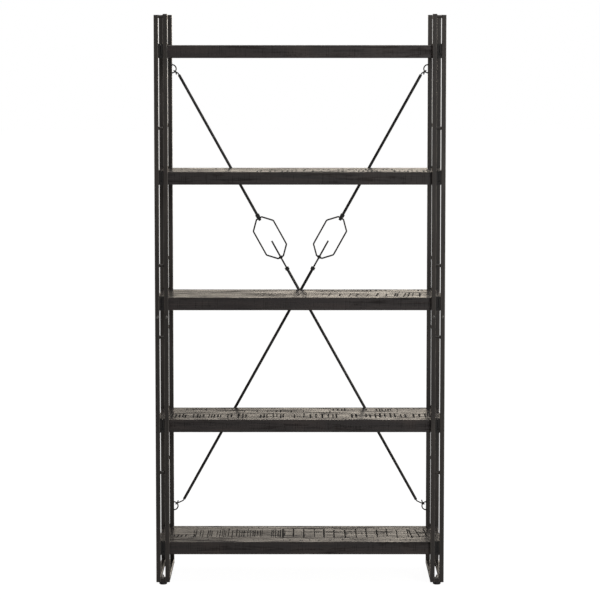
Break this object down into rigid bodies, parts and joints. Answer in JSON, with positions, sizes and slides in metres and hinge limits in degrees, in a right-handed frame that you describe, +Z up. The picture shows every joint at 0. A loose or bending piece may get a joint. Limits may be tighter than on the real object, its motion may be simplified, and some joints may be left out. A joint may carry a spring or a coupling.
{
  "type": "bookcase with adjustable shelves",
  "caption": "Tall open bookcase: dark stained plank shelves held in slots between twin steel posts, with a crossed wire brace and turnbuckles at the back.",
  "frame": {"origin": "on the floor, at the centre of the footprint", "axes": "+Z up; +X to the right seen from the front; front face towards -Y, brace at +Y"},
  "size_m": [0.91, 0.3044, 1.8],
  "materials": {
    "black_steel": "satin black lacquer over mottled steel, lighter along the edges",
    "brace_steel": "satin black wire and rod, worn at the bends and threads",
    "block_steel": "matt black",
    "plain_steel": "bare drawn tube",
    "zinc_hardware": "dull zinc plating",
    "stained_mango": "black stain and satin lacquer on rough-sawn mango, with cross-grain saw marks"
  },
  "bodies": {
    "frame": {"left_front_posts_lower": "black_steel", "left_front_posts_upper": "black_steel", "left_back_posts_lower": "black_steel", "left_back_posts_upper": "black_steel", "right_front_posts_lower": "black_steel", "right_front_posts_upper": "black_steel", "right_back_posts_lower": "black_steel", "right_back_posts_upper": "black_steel", "post_top_caps": "black_steel", "joint_spigots": "plain_steel", "joint_screws": "black_steel", "spacer_links_upper": "black_steel", "spacer_links_lower": "black_steel", "left_sled_rails": "black_steel", "right_sled_rails": "black_steel", "foot_brackets": "black_steel", "foot_jam_nuts": "zinc_hardware", "brace_eyes": "brace_steel", "left_upper_rod": "brace_steel", "right_upper_rod": "brace_steel", "brace_swivel_collars": "brace_steel"},
    "shelf_1": {"shelf_1_boards": "stained_mango", "shelf_1_rails": "stained_mango", "shelf_1_end_battens": "stained_mango", "shelf_1_guide_blocks": "block_steel", "shelf_1_clamp_bolts": "block_steel"},
    "shelf_2": {"shelf_2_boards": "stained_mango", "shelf_2_rails": "stained_mango", "shelf_2_end_battens": "stained_mango", "shelf_2_guide_blocks": "block_steel", "shelf_2_clamp_bolts": "block_steel"},
    "shelf_3": {"shelf_3_boards": "stained_mango", "shelf_3_rails": "stained_mango", "shelf_3_end_battens": "stained_mango", "shelf_3_guide_blocks": "block_steel", "shelf_3_clamp_bolts": "block_steel"},
    "shelf_4": {"shelf_4_boards": "stained_mango", "shelf_4_rails": "stained_mango", "shelf_4_end_battens": "stained_mango", "shelf_4_guide_blocks": "block_steel", "shelf_4_clamp_bolts": "block_steel"},
    "shelf_5": {"shelf_5_boards": "stained_mango", "shelf_5_rails": "stained_mango", "shelf_5_end_battens": "stained_mango", "shelf_5_guide_blocks": "block_steel", "shelf_5_clamp_bolts": "block_steel"},
    "left_turnbuckle": {"left_turnbuckle": "brace_steel"},
    "left_lower_rod": {"left_lower_rod": "brace_steel", "left_lock_nut": "brace_steel"},
    "right_turnbuckle": {"right_turnbuckle": "brace_steel"},
    "right_lower_rod": {"right_lower_rod": "brace_steel", "right_lock_nut": "brace_steel"},
    "foot_pad_front_left": {"foot_pad_front_left": "black_steel"},
    "foot_stud_front_left": {"foot_stud_front_left": "zinc_hardware"},
    "foot_pad_front_right": {"foot_pad_front_right": "black_steel"},
    "foot_stud_front_right": {"foot_stud_front_right": "zinc_hardware"},
    "foot_pad_back_left": {"foot_pad_back_left": "black_steel"},
    "foot_stud_back_left": {"foot_stud_back_left": "zinc_hardware"},
    "foot_pad_back_right": {"foot_pad_back_right": "black_steel"},
    "foot_stud_back_right": {"foot_stud_back_right": "zinc_hardware"}
  },
  "joints": [
    {"name": "shelf_1_height", "type": "slide", "parent": "frame", "child": "shelf_1", "axis": [0, 0, 1], "range_m": [-0.212, 0.078]},
    {"name": "shelf_2_height", "type": "slide", "parent": "frame", "child": "shelf_2", "axis": [0, 0, 1], "range_m": [-0.247, 0.126]},
    {"name": "shelf_3_height", "type": "slide", "parent": "frame", "child": "shelf_3", "axis": [0, 0, 1], "range_m": [-0.078, 0.091]},
    {"name": "shelf_4_height", "type": "slide", "parent": "frame", "child": "shelf_4", "axis": [0, 0, 1], "range_m": [-0.121, 0.252]},
    {"name": "shelf_5_height", "type": "slide", "parent": "frame", "child": "shelf_5", "axis": [0, 0, 1], "range_m": [-0.064, 0.213]},
    {"name": "left_turnbuckle_turn", "type": "hinge", "parent": "frame", "child": "left_turnbuckle", "pos_m": [-0.09752, 0.136, 1.08053], "axis": [-0.4856, 0, 0.8742], "range_deg": [0, 720]},
    {"name": "left_rod_slack", "type": "slide", "parent": "frame", "child": "left_lower_rod", "axis": [0.4856, 0, -0.8742], "range_m": [0, 0.00201]},
    {"name": "right_turnbuckle_turn", "type": "hinge", "parent": "frame", "child": "right_turnbuckle", "pos_m": [0.09752, 0.1454, 1.08053], "axis": [0.4856, 0, 0.8742], "range_deg": [0, 720]},
    {"name": "right_rod_slack", "type": "slide", "parent": "frame", "child": "right_lower_rod", "axis": [-0.4856, 0, -0.8742], "range_m": [0, 0.00201]},
    {"name": "foot_front_left_height", "type": "slide", "parent": "frame", "child": "foot_pad_front_left", "axis": [0, 0, -1], "range_m": [0, 0.006]},
    {"name": "foot_front_left_turn", "type": "hinge", "parent": "foot_pad_front_left", "child": "foot_stud_front_left", "pos_m": [-0.43375, -0.136, 0.02], "axis": [0, 0, -1], "range_deg": [0, 2161]},
    {"name": "foot_front_right_height", "type": "slide", "parent": "frame", "child": "foot_pad_front_right", "axis": [0, 0, -1], "range_m": [0, 0.006]},
    {"name": "foot_front_right_turn", "type": "hinge", "parent": "foot_pad_front_right", "child": "foot_stud_front_right", "pos_m": [0.43375, -0.136, 0.02], "axis": [0, 0, -1], "range_deg": [0, 2161]},
    {"name": "foot_back_left_height", "type": "slide", "parent": "frame", "child": "foot_pad_back_left", "axis": [0, 0, -1], "range_m": [0, 0.006]},
    {"name": "foot_back_left_turn", "type": "hinge", "parent": "foot_pad_back_left", "child": "foot_stud_back_left", "pos_m": [-0.43375, 0.136, 0.02], "axis": [0, 0, -1], "range_deg": [0, 2161]},
    {"name": "foot_back_right_height", "type": "slide", "parent": "frame", "child": "foot_pad_back_right", "axis": [0, 0, -1], "range_m": [0, 0.006]},
    {"name": "foot_back_right_turn", "type": "hinge", "parent": "foot_pad_back_right", "child": "foot_stud_back_right", "pos_m": [0.43375, 0.136, 0.02], "axis": [0, 0, -1], "range_deg": [0, 2161]}
  ],
  "couplings": [
    {"joint": "left_rod_slack", "follows": "left_turnbuckle_turn", "m_per_rad": 0.00015915},
    {"joint": "right_rod_slack", "follows": "right_turnbuckle_turn", "m_per_rad": 0.00015915},
    {"joint": "foot_front_left_turn", "follows": "foot_front_left_height", "rad_per_m": 6283.2},
    {"joint": "foot_front_right_turn", "follows": "foot_front_right_height", "rad_per_m": 6283.2},
    {"joint": "foot_back_left_turn", "follows": "foot_back_left_height", "rad_per_m": 6283.2},
    {"joint": "foot_back_right_turn", "follows": "foot_back_right_height", "rad_per_m": 6283.2}
  ]
}
